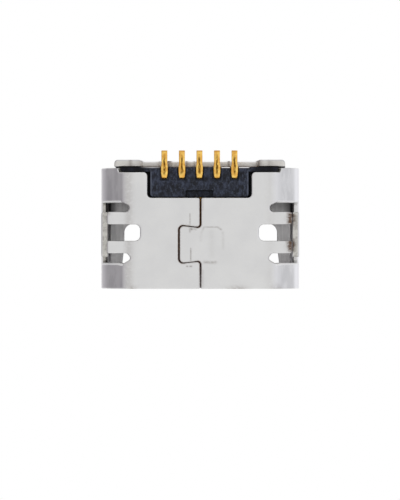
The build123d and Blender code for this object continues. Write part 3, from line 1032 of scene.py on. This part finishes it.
# Zones of the finishes, each a product of smooth steps: the axis ("aside" is X without its sign), where
# the step starts and ends in millimetres, and its shares there where they aren't 0 and 1
SEAM_START = ("y", 0.42, 0.66, 0.12, 1.0)
BEFORE_FLAP = ("y", 4.4, 4.3)
BEHIND_FLAP = ("y", FLAP_INNER_Y + 0.04, FLAP_INNER_Y + 0.12)
WING_SIDE = ("aside", FLAP_MIDDLE_X, FLAP_MIDDLE_X + 0.1)
ZONES = {
    "bevels": [("aside", 2.7, 2.9), ("z", 0.2, 0.35)],
    "highlighted_walls": [("aside", 3.40, 3.58), ("z", 0.7, 1.1)],
    "highlighted_wall_at_minus_x": [("x", -3.38, -3.42)],
    "highlighted_flap_middle": [BEHIND_FLAP, ("aside", FLAP_MIDDLE_X, FLAP_MIDDLE_X - 0.1), ("z", 0.85, 0.75)],
    "shaded_flap_wings": [BEHIND_FLAP, WING_SIDE, ("z", 0.42, 0.36, 0.0, 0.5)],
    "shaded_corner": [("x", 3.37, 3.43), ("z", 2.05, 1.95, 0.0, 0.5), ("y", 1.3, 1.7, 0.2, 1.0)],
    "shaded_rear": [("aside", 3.05, 3.42, 0.0, 0.75), ("y", 2.6, 2.85)],
    "seam": [("aside", 1.6, 1.2), SEAM_START],
    "seam_cut": [("aside", 1.2, 1.0), ("z", 0.35, 0.28), SEAM_START],
    "wider_tear_and_shade": [("x", 0.0, 1.0, 0.0, 0.12)],
    "torn_and_shaded_cuts": [("z", 0.75, 0.95), BEFORE_FLAP, ("y", 1.4, 2.4, 0.75, 1.0)],
    "highlighted_cuts": [("x", 0.0, -1.0, 0.0, 0.7), ("z", 1.1, 1.25), BEFORE_FLAP],
    "flap_cut": [("y", 4.4, 4.6)],
    "wing_cut": [WING_SIDE],
    "block_side": [("y", 4.45, 4.3), ("z", 0.1, 0.06), ("y", 3.4, 3.6)],
    "shaded_recess": [
        ("z", 0.12, 0.2),
        ("y", CUTOUT_Y - 0.05, CUTOUT_Y),
        ("aside", NOTCH_X - 0.03, NOTCH_X + 0.03, 0.25, 0.75),
    ],
    "notch_side_shadow": [("y", NOTCH_END_Y, NOTCH_END_Y - 0.02)],
    "notch": [("aside", NOTCH_X + 0.02, NOTCH_X - 0.02), ("z", 0.15, 0.2)],
    "flange": [("aside", BLOCK_X + 0.05, BLOCK_X + 0.3), ("y", 4.1, 4.2)],
    "rear_rim": [("y", FLAP_INNER_Y - 0.035, FLAP_INNER_Y - 0.02), ("z", 0.1, 0.07)],
    "rim_highlight": [("x", -1.88, -1.80), ("x", -0.65, -0.75)],
    "tail": [("z", 0.2, 0.1), ("y", 4.15, 4.35), ("y", 5.08, 4.75)],
    "tail_tip": [("y", TAIL_END_Y - 0.09, TAIL_END_Y - 0.02, 0.0, 0.6)],
}


def linear(colour):
    """Screen colour as the shader's linear colour."""
    return tuple(c / 12.92 if c <= 0.04045 else ((c + 0.055) / 1.055) ** 2.4 for c in colour) + (1.0,)


def feed(tree, socket, value):
    """Links a socket to another one, or sets its plain value."""
    if isinstance(value, bpy.types.NodeSocket):
        tree.links.new(value, socket)
    else:
        socket.default_value = value


def add_node(tree, kind, *feeds, **settings):
    """New shader node; its inputs are fed in their order, apart from those that get None."""
    node = tree.nodes.new("ShaderNode" + kind)
    for key, value in settings.items():
        setattr(node, key, value)
    for socket, value in zip(node.inputs, feeds):
        if value is not None:
            feed(tree, socket, value)
    return node


class Finish:
    """A material with one Principled shader, whose patterns are laid out in millimetres."""

    def __init__(self, name, **feeds):
        self.material = bpy.data.materials.new(name)
        self.material.use_nodes = True
        self.tree = self.material.node_tree
        self.shader = self.tree.nodes["Principled BSDF"]
        self.connect(**feeds)
        coordinates = self.add("TexCoord").outputs["Object"]
        self.place = self.vector("MULTIPLY", coordinates, (1 / MM,) * 3)
        x, y, z = self.add("SeparateXYZ", self.place).outputs
        self.axes = {"x": x, "y": y, "z": z, "aside": self.math("ABSOLUTE", x)}
        self.colour = None

    def add(self, kind, *feeds, **settings):
        return add_node(self.tree, kind, *feeds, **settings)

    def connect(self, **feeds):
        """Feeds the shader and gives the material."""
        for name, value in feeds.items():
            feed(self.tree, self.shader.inputs[name.replace("_", " ")], value)
        return self.material

    def vector(self, operation, a, b):
        return self.add("VectorMath", a, b, operation=operation).outputs[0]

    def math(self, operation, a, b=0.0):
        return self.add("Math", a, b, operation=operation).outputs[0]

    def attribute(self, name):
        return self.add("Attribute", attribute_name=name).outputs["Fac"]

    def noise(self, scale, stretch=(1, 1, 1), detail=3.0, rough=0.5):
        place = self.vector("MULTIPLY", self.place, stretch)
        return self.add("TexNoise", place, None, scale, detail, rough).outputs["Fac"]

    def ease(self, value, first, last, low=0.0, high=1.0):
        """Smooth step from low to high while the value goes from first to last."""
        step = self.add("MapRange", value, first, last, low, high, interpolation_type="SMOOTHSTEP")
        return step.outputs[0]

    def near(self, axis, centre, reach):
        """One at the centre, falling to nothing at the reach."""
        apart = self.math("ABSOLUTE", self.math("SUBTRACT", self.axes[axis], centre))
        return self.ease(apart, reach, 0.0)

    def both(self, *shares):
        """Product of the shares."""
        result = shares[0]
        for share in shares[1:]:
            result = self.math("MULTIPLY", result, share)
        return result

    def zone(self, name):
        """Share of a zone."""
        return self.both(*(self.ease(self.axes[axis], *numbers) for axis, *numbers in ZONES[name]))

    def mix(self, share, *colours):
        """The first colour, or the second where the share is one; screen colours or mixed ones."""
        colours = [linear(c) if isinstance(c, tuple) else c for c in colours]
        return self.add("Mix", share, *[None] * 5, *colours, data_type="RGBA").outputs[2]

    def tint(self, share, colour):
        """Paints a colour over what is there, where the share is one."""
        self.colour = self.mix(share, self.colour, colour)

    def bump(self, height, distance):
        node = self.add("Bump", None, distance * MM, None, height)
        self.connect(Normal=node.outputs[0])


def tin_finish():
    """Satin tinned sheet: fine grain, faint cloudiness, drawing lines inside, stains and punch marks,
    with painted highlights on the wall, lance edges and flap, and painted shade in the slots, on the
    flap's wings and beside one front slot's tip.
    """
    f = Finish("tinned_sheet", Metallic=1.0)
    inner, stain, mark, edge = [f.attribute(name) for name in SHARES]
    grain = f.noise(22)
    cloud = f.noise(1.1)
    blotch = f.noise(9, detail=4)
    lines = f.noise(16, stretch=(1, 0.03, 1))
    smear = f.noise(2.6, stretch=(1, 0.4, 1), detail=4, rough=0.6)
    f.colour = f.mix(f.ease(cloud, 0.3, 0.7), TIN_DARK, TIN_LIGHT)
    f.tint(f.ease(grain, 0.58, 0.80, high=0.22), TIN_GRAIN_AND_SHADE)
    f.tint(inner, f.mix(f.ease(lines, 0.35, 0.65), TIN_INSIDE, TIN_INSIDE_LIGHT))
    f.tint(f.both(f.zone("bevels"), f.ease(smear, 0.42, 0.62, high=0.35)), TIN_GRAIN_AND_SHADE)
    # Painted highlight over the wall faces above the bevels
    f.tint(f.zone("highlighted_walls"), TIN_HIGHLIGHT)
    # Painted highlight on the wider rolled edges where the lances cross the bevels; these are also less
    # metallic
    f.tint(edge, TIN_HIGHLIGHT)
    # Painted highlight on the inside of the wall on the -X side
    f.tint(f.both(inner, f.zone("highlighted_wall_at_minus_x")), TIN_HIGHLIGHT)
    # Painted highlight on the rolled lower edge of the flap's middle
    f.tint(f.zone("highlighted_flap_middle"), TIN_HIGHLIGHT)
    # Painted shade on the lower rolled edge of the flap's wings, in the grain colour
    f.tint(f.zone("shaded_flap_wings"), TIN_GRAIN_AND_SHADE)
    shaded = f.math("MAXIMUM", f.zone("shaded_corner"), f.zone("shaded_rear"))
    f.tint(f.both(inner, shaded), TIN_SHADOW)
    # Brown stains, with the painted shade along the flap's inner side
    f.tint(f.both(stain, f.ease(blotch, 0.30, 0.55, low=0.35)), TIN_STAIN_AND_SHADE)
    f.tint(f.both(f.ease(stain, 0.25, 0.8), f.zone("seam")), SEAM_BROWN)
    # Punch marks, and the painted shade ring beside one front slot's tip
    f.tint(f.both(mark, f.ease(blotch, 0.35, 0.6, low=0.5)), TIN_MARK_AND_SHADE)
    f.bump(f.math("ADD", f.both(grain, 0.0015), f.both(f.noise(0.7, detail=1), 0.03)), 1.0)
    dulled = f.math("MAXIMUM", edge, f.both(inner, 0.12))
    rough = f.math("ADD", f.ease(cloud, 0.3, 0.7, low=0.34, high=0.42), f.both(dulled, 0.35))
    metallic = f.ease(edge, 0.0, 1.0, low=1.0, high=0.35)
    return f.connect(Base_Color=f.colour, Roughness=rough, Metallic=metallic)


def cut_edge_finish():
    """Sheared edge: pale on its outer half; above the floor its inner half is a dark, fractured band
    with painted shade over it; painted highlight on the -X side; brown in the seam.
    """
    f = Finish("sheared_edge", Metallic=1.0)
    stain = f.attribute("stain")
    blotch = f.noise(8, detail=4)
    fine = f.noise(30, detail=2)
    flap = f.zone("flap_cut")
    torn_and_shaded = f.ease(f.math("ADD", f.attribute("inner"), f.zone("wider_tear_and_shade")), 0.70, 0.80)
    f.colour = f.mix(f.ease(blotch, 0.38, 0.68), CUT_EDGE, CUT_EDGE_DARK)
    # Painted highlight on the cut edges above the bevels on the -X side
    f.tint(f.zone("highlighted_cuts"), TIN_HIGHLIGHT)
    f.tint(f.both(flap, 0.8), f.mix(f.zone("wing_cut"), FLAP_EDGE, WING_EDGE))
    # Dark fractured band on the inner half of the cut edges, partly painted shade: wider on the +X side
    # and stronger towards the rear
    f.tint(f.both(torn_and_shaded, f.zone("torn_and_shaded_cuts")), CUT_EDGE_TORN_AND_SHADE)
    # Brown stains, with the painted shade along the flap's inner side
    f.tint(f.both(stain, f.ease(blotch, 0.30, 0.55, low=0.5)), TIN_STAIN_AND_SHADE)
    f.tint(f.both(f.ease(stain, 0.1, 0.6), f.zone("seam_cut")), SEAM_BROWN)
    f.bump(fine, 0.004)
    rough = f.ease(fine, 0.3, 0.7, low=0.42, high=0.58)
    metallic = f.ease(flap, 0.0, 1.0, low=1.0, high=0.4)
    return f.connect(Base_Color=f.colour, Roughness=rough, Metallic=metallic)


def plastic_finish():
    """Black glass-filled plastic: blue-black, streaky and cloudy, with pale specks of filler, painted
    highlights along the block's rounded edges and painted shade in its recessed places and on the
    flange.
    """
    f = Finish("black_moulding", Specular_IOR_Level=0.15)
    cloud = f.noise(4.5, stretch=(1, 0.7, 1), detail=5, rough=0.65)
    fibres = f.noise(13, stretch=(1, 0.55, 1), detail=4, rough=0.7)
    f.colour = f.mix(f.ease(cloud, 0.42, 0.66), PLASTIC, PLASTIC_LIGHT)
    f.tint(f.ease(fibres, 0.50, 0.72, high=0.8), PLASTIC_FIBRE)
    f.tint(f.ease(fibres, 0.48, 0.32, high=0.6), PLASTIC_DEEP_AND_SHADE)
    f.tint(f.ease(f.noise(34, detail=1), 0.68, 0.78), PLASTIC_SPECK)
    # Painted highlight along the rounded sides of the block
    block_side_highlight = f.both(f.near("aside", BLOCK_X - 0.02, 0.035), f.zone("block_side"))
    f.tint(f.both(block_side_highlight, f.ease(cloud, 0.3, 0.6, low=0.4, high=0.9)), PLASTIC_SIDE_HIGHLIGHT)
    # Painted shade on the recessed surfaces behind the cut-out, lighter inside the notch
    f.tint(f.zone("shaded_recess"), PLASTIC_DEEP_AND_SHADE)
    # Painted shadow: black lines along the back and one side of the notch
    notch_back_shadow = f.near("y", NOTCH_END_Y - 0.02, 0.035)
    notch_side_shadow = f.both(f.near("x", NOTCH_X - 0.02, 0.035), f.zone("notch_side_shadow"))
    f.tint(f.both(f.math("MAXIMUM", notch_back_shadow, notch_side_shadow), f.zone("notch")), BLACK)
    # Painted shade darkening the flange
    f.tint(f.both(f.zone("flange"), f.ease(cloud, 0.3, 0.7, low=1.0, high=0.8)), PLASTIC_DEEP_AND_SHADE)
    # Painted highlight along the block's rear lower edge, beside the flap
    rim_highlight = f.math("MAXIMUM", f.zone("rim_highlight"), f.both(f.near("x", 1.75, 0.5), 0.5))
    f.tint(f.both(f.zone("rear_rim"), rim_highlight), PLASTIC_EDGE_HIGHLIGHT)
    f.bump(f.noise(12, detail=4), 0.006)
    return f.connect(Base_Color=f.colour, Roughness=f.ease(cloud, 0.3, 0.7, low=0.45, high=0.6))


def gold_finish():
    """Gold plating over a drawn strip: bright edges and a thin, grainy brown streak of painted
    reflection along the middle of the tails.
    """
    f = Finish("gold_plating", Metallic=1.0)
    grain = f.noise(24, stretch=(1, 0.3, 1))
    waver = f.ease(f.noise(3), 0.3, 0.7, low=-0.12, high=0.12)
    across = f.math("ABSOLUTE", f.math("ADD", f.attribute("across"), waver))
    f.colour = f.mix(f.ease(f.noise(6), 0.35, 0.65), GOLD, GOLD_DEEP)
    # Painted reflection: a dark brown streak along the middle of each tail
    f.tint(f.both(f.ease(across, 0.50, 0.14), f.zone("tail"), f.ease(grain, 0.30, 0.54)), BROWN_REFLECTION_AND_CUT)
    f.tint(f.zone("tail_tip"), GOLD_TIP)
    f.bump(grain, 0.003)
    return f.connect(Base_Color=f.colour, Roughness=f.ease(grain, 0.3, 0.7, low=0.26, high=0.42))


def cut_copper_finish():
    """Bare alloy where the strip was cut off."""
    f = Finish("cut_strip_end", Metallic=1.0)
    grain = f.noise(22)
    colour = f.mix(f.ease(grain, 0.35, 0.7), COPPER_CUT, BROWN_REFLECTION_AND_CUT)
    return f.connect(Base_Color=colour, Roughness=f.ease(grain, 0.3, 0.7, low=0.45, high=0.6))


# Camera: image scale at the board's plane, distance in millimetres, tilt, and the image it is set for
PIXELS_PER_MM = 27.0
DISTANCE = 119.0
TILT = math.radians(1.2)
IMAGE_HEIGHT = 500
TARGET = Vector((-0.022, 1.441, 0.0)) * MM
FILM = 36.0

# Floor, in millimetres
PAPER_REACH = 60.0
PAPER_Z = -0.01

# Light: strength of the even light, and for each softbox its place and side in metres and its radiance
AMBIENT = 0.78
SOFTBOXES = {
    "softbox_above": ((-0.12, -0.10, 0.28), 0.20, 1.0),
    "softbox_below": ((-0.16, 0.10, -0.26), 0.20, 1.0),
}

# Tone of the surroundings that the metal mirrors: along X, along Z, and a glow towards both ends of Y
SIDE_TONES = (
    (-1.0, (1.0, 1.0, 1.05)),
    (-0.4, (0.98, 0.98, 1.0)),
    (0.0, (1.0, 1.0, 1.0)),
    (0.4, (0.80, 0.79, 0.80)),
    (0.84, (0.70, 0.68, 0.71)),
    (0.95, (0.405, 0.385, 0.42)),
    (1.0, (0.32, 0.30, 0.33)),
)
HEIGHT_TONES = (
    (-1.0, (1.0, 1.0, 1.0)),
    (0.0, (0.97, 0.97, 0.97)),
    (0.27, (0.90, 0.90, 0.90)),
    (0.46, (0.80, 0.80, 0.80)),
    (0.75, (0.86, 0.86, 0.86)),
    (1.0, (0.97, 0.97, 0.97)),
)
END_GLOW = (0.35, 0.9, 1.0, 1.12)


def set_camera():
    """Camera below the board's plane, where the photograph was taken from."""
    forward = Vector((math.sin(TILT), 0, math.cos(TILT)))
    right = Vector((-math.cos(TILT), 0, math.sin(TILT)))
    data = bpy.data.cameras.new("camera")
    camera = add_object("camera", data)
    turned = Matrix((right, Vector((0, 1, 0)), -forward)).transposed()
    camera.matrix_world = Matrix.Translation(TARGET - forward * DISTANCE * MM) @ turned.to_4x4()
    data.sensor_fit = "VERTICAL"
    data.sensor_height = FILM
    data.lens = FILM * PIXELS_PER_MM * DISTANCE / IMAGE_HEIGHT
    data.clip_start = 0.001
    data.clip_end = 10
    bpy.context.scene.camera = camera


def set_floor():
    """Pale floor that shows from above and is clear from below, where the photograph's camera stands."""
    mesh = bmesh.new()
    signs = ((-1, -1), (1, -1), (1, 1), (-1, 1))
    corners = [(PAPER_REACH * a * MM, PAPER_REACH * b * MM, PAPER_Z * MM) for a, b in signs]
    mesh.faces.new([mesh.verts.new(corner) for corner in corners])
    floor = add_object("floor", to_data("floor", mesh))
    for way in ("diffuse", "glossy", "transmission", "volume_scatter", "shadow"):
        setattr(floor, f"visible_{way}", False)
    material = bpy.data.materials.new("floor_paper")
    material.use_nodes = True
    tree = material.node_tree
    tree.nodes.clear()
    paper = add_node(tree, "BsdfDiffuse", linear(PAPER)).outputs[0]
    clear = add_node(tree, "BsdfTransparent").outputs[0]
    behind = add_node(tree, "NewGeometry").outputs["Backfacing"]
    choice = add_node(tree, "MixShader", behind, paper, clear).outputs[0]
    add_node(tree, "OutputMaterial", choice)
    floor.data.materials.append(material)


def set_world():
    """White surroundings for camera rays, toned ones for mirror rays, and an even light."""
    world = bpy.data.worlds.new("surroundings")
    bpy.context.scene.world = world
    world.use_nodes = True
    tree = world.node_tree
    tree.nodes.clear()

    def add(kind, *feeds, **settings):
        return add_node(tree, kind, *feeds, **settings).outputs[0]

    def tones(way, stops):
        """Colour that changes along an axis of the surroundings, through stops placed from -1 to 1."""
        ramp = add_node(tree, "ValToRGB", add("MapRange", way, -1.0, 1.0))
        for place, _ in stops[1:-1]:
            ramp.color_ramp.elements.new((place + 1) / 2)
        for stop, (_, tone) in zip(ramp.color_ramp.elements, stops):
            stop.color = tone + (1.0,)
        return ramp.outputs[0]

    rays = add_node(tree, "LightPath").outputs
    generated = add_node(tree, "TexCoord").outputs["Generated"]
    x, y, z = add_node(tree, "SeparateXYZ", generated).outputs
    glow = add("MapRange", add("Math", y, operation="ABSOLUTE"), *END_GLOW)
    glow = add("Math", glow, tones(z, HEIGHT_TONES), operation="MULTIPLY")
    seen = add("Background", tones(x, SIDE_TONES), glow)
    lit = add("Background", (1, 1, 1, 1), AMBIENT)
    white = add("Background", (1, 1, 1, 1), 1.0)
    mirrored_ray = add("Math", rays["Is Glossy Ray"], rays["Is Transmission Ray"], operation="MAXIMUM")
    shown = add("MixShader", mirrored_ray, lit, seen)
    shown = add("MixShader", rays["Is Camera Ray"], shown, white)
    add_node(tree, "OutputWorld", shown)


def add_softbox(name, place, size, radiance):
    """Square lamp aimed at the middle of the part."""
    data = bpy.data.lights.new(name, "AREA")
    data.size = size
    data.energy = radiance * math.pi * size * size
    lamp = add_object(name, data)
    lamp.location = place
    lamp.visible_glossy = False
    aim = Vector((0, CUTOUT_Y / 2 * MM, CEILING_Z / 2 * MM)) - Vector(place)
    lamp.rotation_mode = "QUATERNION"
    lamp.rotation_quaternion = aim.to_track_quat("-Z", "Y")


tin, cut_edge = tin_finish(), cut_edge_finish()
gold, cut_end = gold_finish(), cut_copper_finish()

shell = build_shell()
for material in (tin, cut_edge):
    shell.data.materials.append(material)
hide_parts("shell")
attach(shell, "root")

insulator = build_insulator()
insulator.data.materials.append(plastic_finish())
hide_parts("insulator")
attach(insulator, "root")

for number in NUMBERS:
    contact = build_contact(number)
    for material in (gold, cut_end):
        contact.data.materials.append(material)
    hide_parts(f"contact_{number}")
    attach(contact, "root")

set_camera()
set_floor()
set_world()
for name, (place, size, radiance) in SOFTBOXES.items():
    add_softbox(name, place, size, radiance)
bpy.context.scene.view_settings.view_transform = "Standard"
